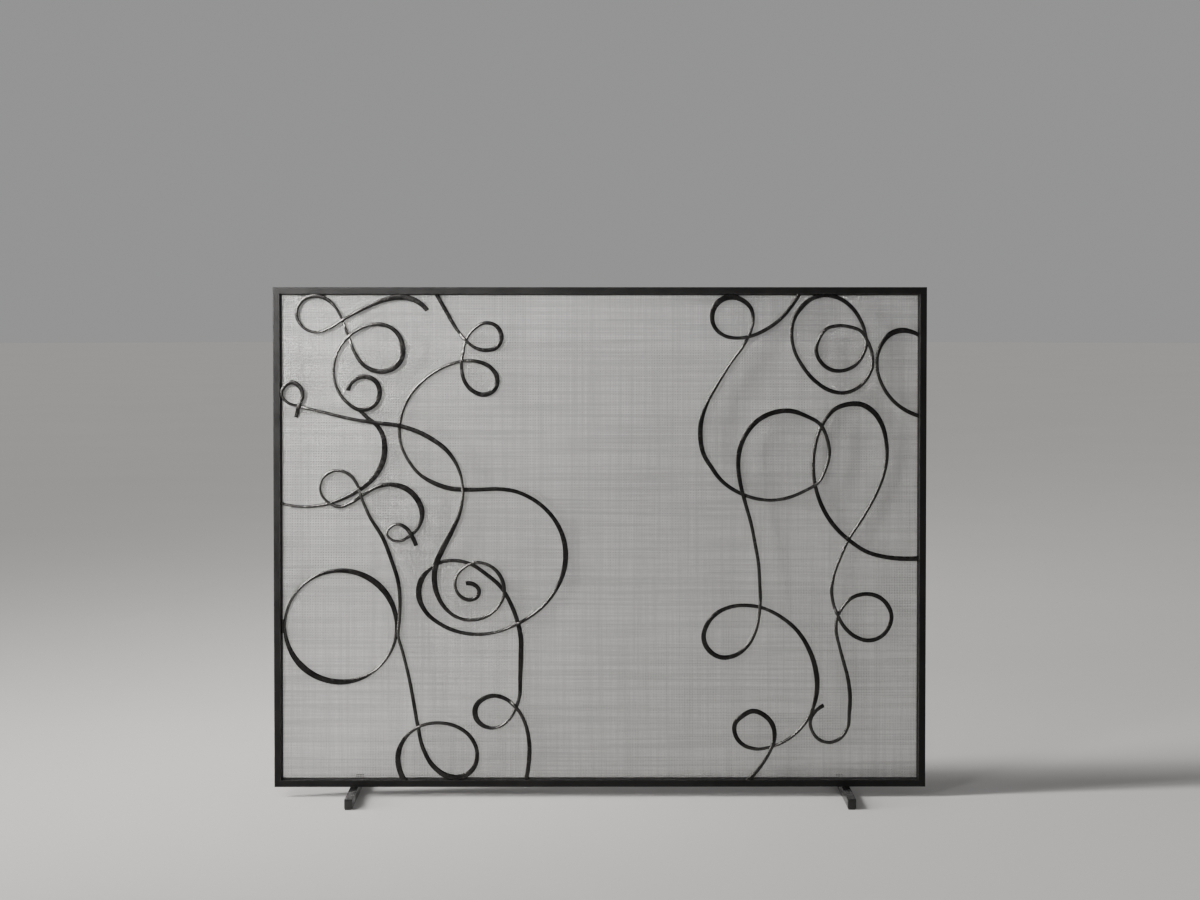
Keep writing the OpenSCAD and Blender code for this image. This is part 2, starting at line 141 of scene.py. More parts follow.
RIGHT_LONG = [
    [344, 870, 7], [327, 843, 7], [307, 820, 6.5], [281, 802, 6.5], [257, 792, 6],
    [233, 789, 6], [211, 794, 6.5], [196, 808, 7], [192, 829, 8.5], [201, 849, 10],
    [222, 859, 10], [243, 854, 8.5], [258, 840, 7], [262, 822, 6], [258, 801, 5.5],
    [246, 777, 5.5], [225, 748, 5.5], [202, 712, 6], [183, 677, 6.5], [173, 645, 8.5],
    [172, 617, 8.5], [178, 589, 7.5], [190, 569, 7.5], [208, 545, 7], [238, 524, 6.5],
    [266, 514, 6], [296, 511, 5.5], [325, 516, 6], [351, 527, 5.5], [375, 542, 5.5],
    [387, 565, 5.5], [393, 590, 6], [389, 617, 6], [377, 641, 6.5], [354, 655, 7],
    [327, 664, 8.5], [300, 662, 8.5], [272, 649, 8.5], [251, 626, 8.5], [239, 597, 8.5],
    [237, 567, 7.5], [242, 533, 7], [250, 503, 6.5], [259, 471, 6], [266, 436, 6],
    [272, 401, 6], [274, 369, 6], [275, 339, 6], [273, 313, 5.5], [267, 285, 5.5],
    [252, 259, 6.5], [229, 243, 7.5], [207, 241, 8], [188, 252, 8.5], [178, 273, 8.5],
    [183, 296, 8], [201, 317, 7.5], [226, 328, 6.5], [253, 330, 6.5], [281, 325, 6],
    [311, 310, 6.5], [338, 287, 7], [359, 254, 8], [370, 221, 9], [373, 191, 8.5],
    [368, 160, 7], [357, 134, 5.5], [337, 110, 5.5], [312, 93, 5.5], [290, 85, 5],
    [267, 83, 6], [246, 90, 7], [233, 106, 7.5], [232, 126, 8], [245, 140, 8.5],
    [263, 148, 8.5], [282, 141, 8.5], [297, 123, 8.5], [300, 103, 7], [293, 81, 6],
    [279, 57, 6.5], [247, 22, 7],
]

DOUBLE_RING = [
    [387, 862, 7], [364, 857, 7.5], [344, 841, 8.5], [331, 819, 7], [328, 795, 6],
    [332, 770, 6], [348, 739, 6.5], [371, 713, 7], [394, 699, 7], [416, 695, 6.5],
    [437, 701, 6], [456, 718, 6], [466, 739, 6], [466, 761, 6], [458, 783, 6],
    [446, 801, 6], [428, 808, 6], [408, 810, 6], [387, 804, 6], [375, 787, 6],
    [370, 768, 6.5], [378, 748, 7], [395, 735, 7], [415, 733, 6.5], [435, 741, 6],
    [449, 758, 6], [456, 779, 6], [453, 801, 6], [445, 821, 6.5], [430, 842, 7],
    [411, 856, 7],
]

RIGHT_ARC = [
    [556, 786, 5], [538, 798, 7.5], [518, 802, 9.5], [498, 796, 9.5], [482, 777, 7],
    [475, 755, 6], [476, 732, 5.5], [485, 706, 6], [502, 682, 6.5], [526, 664, 7],
    [556, 653, 7],
]

RIGHT_CURLS = [
    [556, 411, 8.5], [518, 410, 8], [489, 413, 7.5], [460, 421, 7], [430, 440, 7],
    [405, 463, 7.5], [383, 496, 7.5], [370, 533, 6.5], [366, 568, 6], [368, 597, 6],
    [375, 626, 6], [386, 648, 6.5], [403, 667, 7.5], [424, 675, 8.5], [448, 675, 9],
    [469, 662, 9.5], [484, 639, 8], [491, 611, 7], [492, 583, 6.5], [486, 552, 6],
    [473, 520, 6], [452, 482, 5.5], [427, 443, 5.5], [412, 410, 5.5], [402, 382, 5.5],
    [398, 354, 6], [402, 329, 5.5], [409, 311, 6], [421, 291, 6.5], [440, 275, 7],
    [461, 269, 7], [482, 275, 7], [496, 291, 7], [501, 310, 7], [494, 330, 7.5],
    [477, 345, 7.5], [456, 349, 7], [434, 343, 6.5], [417, 326, 5.5], [408, 309, 5.5],
    [406, 286, 6], [411, 261, 5.5], [418, 235, 6], [426, 205, 6.5], [430, 174, 7],
    [429, 146, 6.5], [426, 119, 6], [412, 99, 6], [395, 93, 5.5], [377, 98, 6],
    [365, 113, 5.5], [362, 131, 6], [370, 146, 6.5], [385, 157, 7],
]

# The ring: its middle, its radius and its width at every eighth turn clockwise from the top
RING_MIDDLE = (-445, 294)
RING_R = 96
RING_WIDTHS = (8, 11, 7, 4.5, 9.5, 11, 4.5, 5)
RING_TURN = 2 * math.pi / len(RING_WIDTHS)
LEFT_RING = [
    [
        RING_MIDDLE[0] + RING_R * math.sin(i * RING_TURN),
        RING_MIDDLE[1] + RING_R * math.cos(i * RING_TURN),
        width,
    ]
    for i, width in enumerate(RING_WIDTHS)
]

# Name, points, closed, in the front layer, and the points near which the bar passes
# over itself.
SCROLLS = [
    ("scroll_top_left", TOP_LEFT, False, True, (5, 25)),
    ("scroll_left_spiral", LEFT_SPIRAL, False, True, (1,)),
    ("scroll_left_long", LEFT_LONG, False, False, (3, 12, 45, 74)),
    ("scroll_left_arc", LEFT_ARC, False, False, ()),
    ("scroll_lower_left", LOWER_LEFT, False, True, (1, 24.5, 46)),
    ("scroll_left_ring", LEFT_RING, True, False, ()),
    ("scroll_right_long", RIGHT_LONG, False, True, (4, 41, 47, 79)),
    ("scroll_double_ring", DOUBLE_RING, True, True, (15,)),
    ("scroll_right_arc", RIGHT_ARC, False, False, ()),
    ("scroll_right_curls", RIGHT_CURLS, False, False, (4, 27)),
]

STEP = 2.6                  # between rings of a swept bar
MIN_STEPS = 4               # between two points of a bar
SECTION_SIDES = 24
NARROW, WIDE = 4.5, 10.0    # widths between which the forged section changes
NARROW_DEPTH, WIDE_DEPTH = 4.6, 3.7
NARROW_POWER, WIDE_POWER = 1.5, 5.5     # of the section's outline: 2 is round
PAINTED_HIGHLIGHT_WIDTH = 7.0           # width under which the metal's colour is lightened, a painted highlight on slim stretches
SCROLL_SHARP_DEG = 50

RISE_REACH = 17.0           # from a crossing to where a bar starts to rise or dip
# Where a bar crosses itself: how far the upper pass comes forward and the lower goes back
FRONT_RISE = (1.3, 2.9)
REAR_RISE = (3.6, 0.6)
FRONT_CLEARANCE, BACK_CLEARANCE = 0.4, 0.2      # from scroll bars to the frame's faces

FLARE_REACH = 3.0           # weld fillet where a bar meets the frame
FLARE = 0.16
CUT_EASE = 0.5              # eased edge of a cut end
CUT_RINGS = ((0.0, 0.87), (0.3, 0.95), (1.0, 1.0))      # share of the ease, and size there

# Hammer dents, as waves: depth, length, how far the phase wanders and over what length,
# and how far the wave turns round the bar
DENTS = ((0.07, 5.3, 1.7, 23.0, 0.0), (0.05, 2.9, 1.3, 11.0, 2.0))

PARALLEL = 1e-9             # keeps the test for a crossing of two parallel steps finite
NEIGHBOURS = 2              # steps this near each other along a bar don't count as crossing


def unit(v):
    return v / np.linalg.norm(v)


def heading(a, b, c):
    """Direction, at the middle point, of the circle through three points."""
    into, out = b - a, c - b
    return unit(unit(into) * np.linalg.norm(out) + unit(out) * np.linalg.norm(into))


def mirrored(t, v):
    """Direction at the other end of a circular arc that leaves along t and crosses by v."""
    return 2 * np.dot(t, unit(v)) * unit(v) - t


def directions(places, closed):
    """Direction of a bar at each of its points."""
    n = len(places)
    found = []
    for i in range(n):
        if closed or 0 < i < n - 1:
            found.append(heading(places[i - 1], places[i], places[(i + 1) % n]))
        elif i == 0:
            first = heading(places[0], places[1], places[2])
            found.append(mirrored(first, places[1] - places[0]))
        else:
            last = heading(places[-3], places[-2], places[-1])
            found.append(mirrored(last, places[-1] - places[-2]))
    return found


def centre_line(points, closed):
    """Samples along a bar: place, direction, width and point number.

    Each stretch between two points is a cubic that leaves along the bar's direction at
    one point and arrives along its direction at the other.
    """
    places = [np.array(p[:2], float) for p in points]
    heads = directions(places, closed)
    n = len(points)
    samples = []
    for i in range(n if closed else n - 1):
        j = (i + 1) % n
        a, d, t, s = places[i], places[j], heads[i], heads[j]
        span = np.linalg.norm(d - a)
        b = a + t * 2 * span / (3 * (1 + np.dot(t, unit(d - a))))
        c = d - s * 2 * span / (3 * (1 + np.dot(s, unit(d - a))))
        steps = max(MIN_STEPS, math.ceil(span / STEP))
        last = steps + 1 if not closed and i == n - 2 else steps
        for k in range(last):
            u = k / steps
            v = 1 - u
            place = a * v**3 + b * 3 * u * v * v + c * 3 * u * u * v + d * u**3
            slope = (b - a) * v * v + (c - b) * 2 * u * v + (d - c) * u * u
            width = points[i][2] * v + points[j][2] * u
            samples.append((place, unit(slope), width, i + u))
    return samples


def swell(width):
    """How far a width is from narrow, 0, towards wide, 1."""
    return min(max((width - NARROW) / (WIDE - NARROW), 0), 1)


def depth_of(width):
    """Depth of the forged section: the wider the bar was hammered, the thinner it is."""
    return NARROW_DEPTH + (WIDE_DEPTH - NARROW_DEPTH) * swell(width)


class Bar:
    """One scroll bar: its samples as arrays, and where its middle lies in depth."""

    def __init__(self, name, points, closed, in_front, overs):
        samples = centre_line(points, closed)
        self.name, self.closed, self.in_front, self.overs = name, closed, in_front, overs
        self.place = np.array([s[0] for s in samples])
        self.along = np.array([s[1] for s in samples])
        self.width = np.array([s[2] for s in samples])
        self.number = np.array([s[3] for s in samples])
        self.depth = np.array([depth_of(w) for w in self.width])
        self.base_y = FRONT_LAYER_Y if in_front else REAR_LAYER_Y
        gaps = np.linalg.norm(np.diff(self.place, axis=0), axis=1)
        self.run = np.concatenate([[0], np.cumsum(gaps)])
        closing = np.linalg.norm(self.place[0] - self.place[-1]) if closed else 0
        self.length = self.run[-1] + closing
        self.shift = np.zeros(len(samples))

    def bump(self, at, amount):
        """Moves the bar in depth round one sample, fading out along it."""
        away = np.abs(self.run - self.run[at])
        if self.closed:
            away = np.minimum(away, self.length - away)
        share = np.clip(1 - away / RISE_REACH, 0, 1)
        self.shift += amount * share * share * (3 - 2 * share)


def crossings(one, two):
    """Pairs of sample numbers at which two centre lines, or one and itself, cross."""
    a, b = one.place, two.place
    if one.closed:
        a = np.vstack([a, a[:1]])
    if two.closed:
        b = np.vstack([b, b[:1]])
    r, s = np.diff(a, axis=0), np.diff(b, axis=0)
    found = []
    for i in range(len(r)):
        across = r[i][0] * s[:, 1] - r[i][1] * s[:, 0]
        across = np.where(np.abs(across) < PARALLEL, PARALLEL, across)
        gap = b[:-1] - a[i]
        t = (gap[:, 0] * s[:, 1] - gap[:, 1] * s[:, 0]) / across
        u = (gap[:, 0] * r[i][1] - gap[:, 1] * r[i][0]) / across
        for j in np.nonzero((t >= 0) & (t < 1) & (u >= 0) & (u < 1))[0]:
            apart = j > i + NEIGHBOURS and j - i < len(r) - NEIGHBOURS
            if one is not two or apart:
                found.append((i, int(j)))
    return found


def settle(bars):
    """Lifts each bar over or under itself at its own crossings, and brings bars of the
    two layers together where they cross."""
    for bar in bars:
        forward, back = FRONT_RISE if bar.in_front else REAR_RISE
        for i, j in crossings(bar, bar):
            near = [min(abs(bar.number[k] - o) for o in bar.overs) for k in (i, j)]
            over, under = (i, j) if near[0] < near[1] else (j, i)
            bar.bump(over, -forward)
            bar.bump(under, back)
    for one in bars:
        for two in bars:
            if not one.in_front or two.in_front:
                continue
            for i, j in crossings(one, two):
                front = one.base_y + one.shift[i] + one.depth[i] / 2
                rear = two.base_y + two.shift[j] - two.depth[j] / 2
                if rear > front:
                    one.bump(i, (rear - front) / 2)
                    two.bump(j, (front - rear) / 2)


def hammered(run, turn):
    """Shallow dents left by the hammer, in millimetres, along and round a bar."""
    return sum(
        depth * np.sin(run / length + twist * turn + wander * np.sin(run / drift))
        for depth, length, wander, drift, twist in DENTS
    )


def section(width, depth):
    """Outline of a forged bar: near a diamond where narrow, flat-faced where wide."""
    power = NARROW_POWER + (WIDE_POWER - NARROW_POWER) * swell(width)
    turn = 2 * np.pi * np.arange(SECTION_SIDES) / SECTION_SIDES
    c, s = np.cos(turn), np.sin(turn)
    side = np.sign(c) * np.abs(c) ** (2 / power) * width / 2
    deep = np.sign(s) * np.abs(s) ** (2 / power) * depth / 2
    return side, deep, turn


def inside_frame(place):
    """Distance from a place in the opening to the nearest edge of the opening."""
    return min(
        place[0] - OPEN_LEFT, OPEN_RIGHT - place[0], place[1] - OPEN_LOW, OPEN_HIGH - place[1]
    )


def ended(rings):
    """The same rings, with both cut ends eased."""
    out = list(rings)
    for end, inner in ((0, 1), (-1, -2)):
        place, along, y, width, depth, run, _ = rings[end]
        back = unit(rings[inner][0] - place)
        eased = [
            (place + back * CUT_EASE * share, along, y, width, depth, run, size)
            for share, size in CUT_RINGS
        ]
        out = eased + out[1:] if end == 0 else out[:-1] + eased[::-1]
    return out


def sweep(bar):
    """Vertices, faces and painted highlight of a forged scroll bar: lighter metal where it is
    slim.
    """
    verts, faces, bright = [], [], []
    middle_y = np.clip(
        bar.base_y + bar.shift,
        FRONT_Y + FRONT_CLEARANCE + bar.depth / 2,
        BACK_Y - BACK_CLEARANCE - bar.depth / 2,
    )
    rings = [
        (*ring, 1.0)
        for ring in zip(bar.place, bar.along, middle_y, bar.width, bar.depth, bar.run)
    ]
    if not bar.closed:
        rings = ended(rings)
    for place, along, y, width, depth, run, size in rings:
        near = np.clip(1 - inside_frame(place) / FLARE_REACH, 0, 1)
        flare = 1 + FLARE * near * near
        side, deep, turn = section(width * flare, depth * flare)
        dent = 1 - 2 * hammered(run, turn) / (width + depth)
        side, deep = side * size * dent, deep * size * dent
        across = np.array([-along[1], along[0]])
        for a, b in zip(side, deep):
            verts.append((place[0] + across[0] * a, y + b, place[1] + across[1] * a))
        # Painted highlight: slim stretches get lighter metal, standing in for the highlight
        # along their lit edge.
        slim = np.clip((PAINTED_HIGHLIGHT_WIDTH - width) / (PAINTED_HIGHLIGHT_WIDTH - NARROW), 0, 1)
        bright += [slim] * SECTION_SIDES
    n, m = len(rings), SECTION_SIDES
    for i in range(n if bar.closed else n - 1):
        for k in range(m):
            p, q = i * m + k, i * m + (k + 1) % m
            r = (i + 1) % n * m
            faces.append((p, q, r + (k + 1) % m, r + k))
    if not bar.closed:
        faces.append(tuple(range(m))[::-1])
        faces.append(tuple(range((n - 1) * m, n * m)))
    return np.array(verts) * MM, faces, bright


# ---------------------------------------------------------------- materials
# Sizes of noise and depths of bumps are in millimetres.


def material(name):
    made = bpy.data.materials.new(name)
    made.use_nodes = True
    return made, made.node_tree, made.node_tree.nodes["Principled BSDF"]


def noise(nt, size_mm, detail=3, roughness=0.5, stretch=(1, 1, 1)):
    """Fractal noise with features of about the given size."""
    place = nt.nodes.new("ShaderNodeTexCoord")
    mapping = nt.nodes.new("ShaderNodeMapping")
    mapping.inputs["Scale"].default_value = stretch
    texture = nt.nodes.new("ShaderNodeTexNoise")
    texture.inputs["Scale"].default_value = 1 / (size_mm * MM)
    texture.inputs["Detail"].default_value = detail
    texture.inputs["Roughness"].default_value = roughness
    nt.links.new(place.outputs["Object"], mapping.inputs["Vector"])
    nt.links.new(mapping.outputs["Vector"], texture.inputs["Vector"])
    return texture.outputs["Fac"]


def cells(nt, size_mm, smooth=0.6):
    """Rounded cells, like the dents of a hammer."""
    place = nt.nodes.new("ShaderNodeTexCoord")
    texture = nt.nodes.new("ShaderNodeTexVoronoi")
    texture.feature = "SMOOTH_F1"
    texture.inputs["Scale"].default_value = 1 / (size_mm * MM)
    texture.inputs["Smoothness"].default_value = smooth
    nt.links.new(place.outputs["Object"], texture.inputs["Vector"])
    return texture.outputs["Distance"]


def graded(nt, value, low, high, from_low=0.35, from_high=0.65):
    """Maps a value that runs from from_low to from_high onto low to high."""
    node = nt.nodes.new("ShaderNodeMapRange")
    node.inputs["From Min"].default_value = from_low
    node.inputs["From Max"].default_value = from_high
    node.inputs["To Min"].default_value = low
    node.inputs["To Max"].default_value = high
    nt.links.new(value, node.inputs["Value"])
    return node.outputs["Result"]


def blended(nt, share, low, high):
    """Mixes two colours; either may be an output of another node."""
    node = nt.nodes.new("ShaderNodeMix")
    node.data_type = "RGBA"
    for name, colour in (("A", low), ("B", high)):
        socket = [s for s in node.inputs if s.name == name and s.type == "RGBA"][0]
        if isinstance(colour, tuple):
            socket.default_value = (*colour, 1)
        else:
            nt.links.new(colour, socket)
    nt.links.new(share, node.inputs["Factor"])
    return [s for s in node.outputs if s.type == "RGBA"][0]


def bumped(nt, heights):
    """Chains bumps: each is a height, its depth in millimetres and its strength."""
    normal = None
    for height, depth_mm, strength in heights:
        node = nt.nodes.new("ShaderNodeBump")
        node.inputs["Distance"].default_value = depth_mm * MM
        node.inputs["Strength"].default_value = strength
        nt.links.new(height, node.inputs["Height"])
        if normal is not None:
            nt.links.new(normal, node.inputs["Normal"])
        normal = node.outputs["Normal"]
    return normal


def stored(nt):
    """The amount stored at the mesh's points: edge wear, or on scroll bars a painted
    highlight that lightens slim stretches.
    """
    node = nt.nodes.new("ShaderNodeAttribute")
    node.attribute_name = "wear_and_sheen"
    return node.outputs["Fac"]


def worn(nt):
    """The stored edge wear, broken up by noise."""
    broken = graded(nt, noise(nt, 6, 4), 0, 1, 0.42, 0.62)
    product = nt.nodes.new("ShaderNodeMath")
    product.operation = "MULTIPLY"
    nt.links.new(stored(nt), product.inputs[0])
    nt.links.new(broken, product.inputs[1])
    return product.outputs["Value"]


def surface(nt, shader, colour, roughness, bumps=()):
    """Links colour, roughness and bumps, if any, to a material's shader."""
    nt.links.new(colour, shader.inputs["Base Color"])
    nt.links.new(roughness, shader.inputs["Roughness"])
    if bumps:
        nt.links.new(bumped(nt, bumps), shader.inputs["Normal"])


def frame_iron(name, roughness, specular):
    """Satin black paint on square bar, thinned and slightly polished along the edges."""
    made, nt, shader = material(name)
    cloudy = graded(nt, noise(nt, 45, 5), 0, 1)
    paint = blended(nt, cloudy, (0.0022, 0.0021, 0.0021), (0.004, 0.0038, 0.0037))
    colour = blended(nt, worn(nt), paint, (0.02, 0.019, 0.0185))
    sheen = graded(nt, noise(nt, 18, 4), *roughness)
    drag = noise(nt, 14, 3)
    grain = noise(nt, 1.6, 2)
    surface(nt, shader, colour, sheen, [(drag, 0.25, 0.35), (grain, 0.05, 0.35)])
    shader.inputs["Specular IOR Level"].default_value = specular
    return made


def scroll_iron():
    """Forged iron, charcoal with a waxed sheen, its colour lightened on slim stretches as a
    painted highlight.
    """
    made, nt, shader = material("scroll_iron")
    cloudy = graded(nt, noise(nt, 22, 5), 0, 1)
    dark = blended(nt, cloudy, (0.019, 0.0185, 0.018), (0.036, 0.035, 0.034))
    # Painted highlight: lighter metal where the stored amount marks a slim stretch.
    painted_highlight = blended(nt, stored(nt), dark, (0.085, 0.083, 0.080))
    flecks = graded(nt, noise(nt, 2.2, 4, 0.7), 0, 0.5, 0.56, 0.72)
    colour = blended(nt, flecks, painted_highlight, (0.07, 0.068, 0.065))
    sheen = graded(nt, noise(nt, 9, 4), 0.20, 0.30)
    dents = cells(nt, 5.5)
    grain = noise(nt, 1.2, 3)
    surface(nt, shader, colour, sheen, [(dents, 0.5, 0.35), (grain, 0.06, 0.4)])
    shader.inputs["Metallic"].default_value = 1.0
    return made


def wire_cloth():
    """Bright drawn wire, duller in patches, with streaks along both directions of wire."""
    made, nt, shader = material("wire_cloth")
    dull = graded(nt, noise(nt, 120, 4), 0, 1, 0.3, 0.7)
    patches = blended(nt, dull, (0.36, 0.359, 0.354), (0.44, 0.438, 0.432))
    level = graded(nt, noise(nt, 5, 3, 0.7, (0.02, 1, 1)), 0, 1, 0.40, 0.60)
    streaks = blended(nt, level, patches, (0.58, 0.578, 0.57))
    upright = graded(nt, noise(nt, 5, 3, 0.7, (1, 1, 0.02)), 0, 0.6, 0.35, 0.65)
    colour = blended(nt, upright, streaks, (0.33, 0.328, 0.322))
    sheen = graded(nt, noise(nt, 8, 3), 0.30, 0.44)
    surface(nt, shader, colour, sheen, [(noise(nt, 0.7, 2), 0.02, 0.3)])
    shader.inputs["Metallic"].default_value = 1.0
    return made


def channel_steel():
    """Thin folded sheet, sprayed black."""
    made, nt, shader = material("channel_steel")
    cloudy = graded(nt, noise(nt, 30, 4), 0, 1)
    spray = blended(nt, cloudy, (0.009, 0.0085, 0.0085), (0.018, 0.017, 0.0165))
    colour = blended(nt, worn(nt), spray, (0.09, 0.088, 0.085))
    sheen = graded(nt, noise(nt, 12, 3), 0.34, 0.48)
    surface(nt, shader, colour, sheen, [(noise(nt, 1.0, 2), 0.03, 0.4)])
    return made


def screw_steel():
    """Blackened screws with bright spots where the driver touched."""
    made, nt, shader = material("screw_steel")
    cloudy = graded(nt, noise(nt, 3, 3), 0, 1)
    oxide = blended(nt, cloudy, (0.02, 0.02, 0.021), (0.05, 0.05, 0.05))
    colour = blended(nt, worn(nt), oxide, (0.35, 0.34, 0.33))
    surface(nt, shader, colour, graded(nt, noise(nt, 2, 3), 0.28, 0.42))
    shader.inputs["Metallic"].default_value = 0.8
    return made


def pad_rubber():
    """Dull black rubber with a fine moulded grain."""
    made, nt, shader = material("pad_rubber")
    colour = blended(nt, noise(nt, 6, 3), (0.012, 0.012, 0.012), (0.03, 0.029, 0.028))
    matt = graded(nt, noise(nt, 2, 3), 0.7, 0.85)
    surface(nt, shader, colour, matt, [(noise(nt, 0.5, 2), 0.05, 0.5)])
    return made


def studio_floor():
    """Pale matt studio floor."""
    made, nt, shader = material("studio_floor")
    colour = blended(nt, noise(nt, 900, 3), (0.42, 0.412, 0.405), (0.45, 0.442, 0.434))
    nt.links.new(colour, shader.inputs["Base Color"])
    shader.inputs["Roughness"].default_value = 0.8
    shader.inputs["Specular IOR Level"].default_value = 0.2
    return made


FRAME_ROUGHNESS, FRAME_SPECULAR = (0.32, 0.44), 0.16
FOOT_ROUGHNESS, FOOT_SPECULAR = (0.20, 0.30), 0.5
MATERIALS = {
    "frame_iron": frame_iron("frame_iron", FRAME_ROUGHNESS, FRAME_SPECULAR),
    "scroll_iron": scroll_iron(),
    "wire_cloth": wire_cloth(),
    "channel_steel": channel_steel(),
    "screw_steel": screw_steel(),
    "pad_rubber": pad_rubber(),
}

# ---------------------------------------------------------------- pieces

SHARP_DEG = 40
BLOCK_SHARP_DEG = 50


def place_piece(name, mesh, slot, node, finish=None):
    """Adds a finished mesh to the part, in place of a CAD node."""
    piece = bpy.data.objects.new(name, mesh)
    bpy.context.scene.collection.objects.link(piece)
    mesh.materials.clear()
    mesh.materials.append(finish or MATERIALS[slot])
    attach(piece, "root")
    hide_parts(node)
    return piece


def solid(name, verts, faces, wear_and_sheen, sharp_deg=SHARP_DEG):
    """A closed mesh with outward faces, smooth except at sharp edges."""
    mesh = bpy.data.meshes.new(name)
    mesh.from_pydata([tuple(v) for v in verts], [], faces)
    # Edge wear, or on scroll bars a painted highlight on slim stretches.
    amounts = mesh.attributes.new("wear_and_sheen", "FLOAT", "POINT")
    amounts.data.foreach_set("value", np.array(wear_and_sheen, np.float32))
    shape = bmesh.new()
    shape.from_mesh(mesh)
    bmesh.ops.recalc_face_normals(shape, faces=shape.faces)
    shape.to_mesh(mesh)
    shape.free()
    mesh.shade_smooth()
    mesh.set_sharp_from_angle(angle=math.radians(sharp_deg))
    return mesh


def block(name, low, high, edge, steps=3):
    """A block with rounded edges."""
    shape = bmesh.new()
    bmesh.ops.create_cube(shape, size=1.0)
    for v in shape.verts:
        for axis in range(3):
            end = high if v.co[axis] > 0 else low
            v.co[axis] = end[axis] * MM
    bmesh.ops.bevel(
        shape, geom=shape.edges[:], offset=edge * MM, segments=steps, profile=0.5,
        affect="EDGES", clamp_overlap=True,
    )
    mesh = bpy.data.meshes.new(name)
    shape.to_mesh(mesh)
    shape.free()
    mesh.shade_smooth()
    mesh.set_sharp_from_angle(angle=math.radians(BLOCK_SHARP_DEG))
    return mesh


BAR_EDGE = 0.9              # rounded edges of the square bar
EDGE_STEPS = 4
WEAR_FADE = 0.9             # from the end of a rounding to unworn paint, in roundings

# The two corners at the ends of each side of the frame: which way they lie in x and z
CORNERS = {
    "bottom": ((-1, -1), (1, -1)),
    "right": ((1, -1), (1, 1)),
    "top": ((1, 1), (-1, 1)),
    "left": ((-1, 1), (-1, -1)),
}
FRAME_NODES = {
    "bottom": "bottom_rail",
    "right": "right_stile",
    "top": "top_rail",
    "left": "left_stile",
}


def rounded_outline(points, radius):
    """Closed outline with rounded corners. Returns points and how worn each one is."""
    out, wear_and_sheen = [], []
    n = len(points)
    for i in range(n):
        before, here, after = (np.array(points[k % n], float) for k in (i - 1, i, i + 1))
        to_before, to_after = unit(before - here), unit(after - here)
        inset = radius / math.tan(math.acos(np.dot(to_before, to_after)) / 2)
        start, end = here + to_before * inset, here + to_after * inset
        centre = here + unit(to_before + to_after) * math.hypot(radius, inset)
        out.append(here + to_before * inset * (1 + WEAR_FADE))
        wear_and_sheen.append(0.0)
        for k in range(EDGE_STEPS + 1):
            u = k / EDGE_STEPS
            chord = start * (1 - u) + end * u
            out.append(centre + unit(chord - centre) * radius)
            wear_and_sheen.append(1.0)
        out.append(here + to_after * inset * (1 + WEAR_FADE))
        wear_and_sheen.append(0.0)
    return out, wear_and_sheen


def mitred(outline, wear_and_sheen, side):
    """Sweeps an outline of (distance outside the opening, y) along one side of the frame."""
    verts = []
    for sx, sz in CORNERS[side]:
        corner_x = OPEN_RIGHT if sx > 0 else OPEN_LEFT
        corner_z = OPEN_HIGH if sz > 0 else OPEN_LOW
        for out, y in outline:
            verts.append((corner_x + sx * out, y, corner_z + sz * out))
    n = len(outline)
    faces = [(k, (k + 1) % n, n + (k + 1) % n, n + k) for k in range(n)]
    faces.append(tuple(range(n)))
    faces.append(tuple(range(n, 2 * n)))
    return np.array(verts) * MM, faces, list(wear_and_sheen) * 2


def build_frame():
    """Four mitred lengths of square bar with rounded edges."""
    square = [(0, FRONT_Y), (FRAME_BAR, FRONT_Y), (FRAME_BAR, BACK_Y), (0, BACK_Y)]
    outline, wear_and_sheen = rounded_outline(square, BAR_EDGE)
    for side, node in FRAME_NODES.items():
        mesh = solid(node + "_bar", *mitred(outline, wear_and_sheen, side))
        place_piece(node + "_bar", mesh, "frame_iron", node)


SHEET = 0.8                 # sheet thickness of the channels
FOLD = 1.1                  # outside radius of a fold
FOLD_STEPS = 4
FOLD_WEAR = 0.6
LIP_WEAR_W = 0.6            # worn band along the edge of a lip


def fold_outline():
    """Section of a channel: a strip folded twice, open towards the cloth."""
    y0, y1 = CHANNEL_LOW[1], CHANNEL_HIGH[1]
    lip = CHANNEL_LOW[2] - OPEN_HIGH
    lap = CHANNEL_HIGH[2] - OPEN_HIGH
    inner = FOLD - SHEET
    points, wear_and_sheen = [], []

    def at(d, y, amount):
        points.append((d, y))
        wear_and_sheen.append(amount)

    def arc(y, radius, start, end):
        for k in range(FOLD_STEPS + 1):
            turn = math.radians(start + (end - start) * k / FOLD_STEPS)
            amount = FOLD_WEAR if radius == FOLD else 0.0
            at(lap - FOLD + radius * math.cos(turn), y + radius * math.sin(turn), amount)

    at(lip, y0, 1.0)
    at(lip + LIP_WEAR_W, y0, 0.0)
    arc(y0 + FOLD, FOLD, -90, 0)
    arc(y1 - FOLD, FOLD, 0, 90)
    at(lip + LIP_WEAR_W, y1, 0.0)
    at(lip, y1, 1.0)
    at(lip, y1 - SHEET, 1.0)
    arc(y1 - FOLD, inner, 90, 0)
    arc(y0 + FOLD, inner, 0, -90)
    at(lip, y0 + SHEET, 1.0)
    return points, wear_and_sheen


def build_channels():
    outline, wear_and_sheen = fold_outline()
    for side in CORNERS:
        node = side + "_channel"
        mesh = solid(node + "_fold", *mitred(outline, wear_and_sheen, side))
        place_piece(node + "_fold", mesh, "channel_steel", node)


PITCH = 2.8                 # of the wire cloth
WIRE_SIDES = 3
WIRE_TURN = 0.25            # turns the section of a wire, in sides
WIRE_FULL = 1.12            # makes a three-sided wire as wide as a round one
WIRE_DEEP = 0.98            # keeps it within the thickness of the cloth
GROUPS = 4                  # pieces for each direction of wire


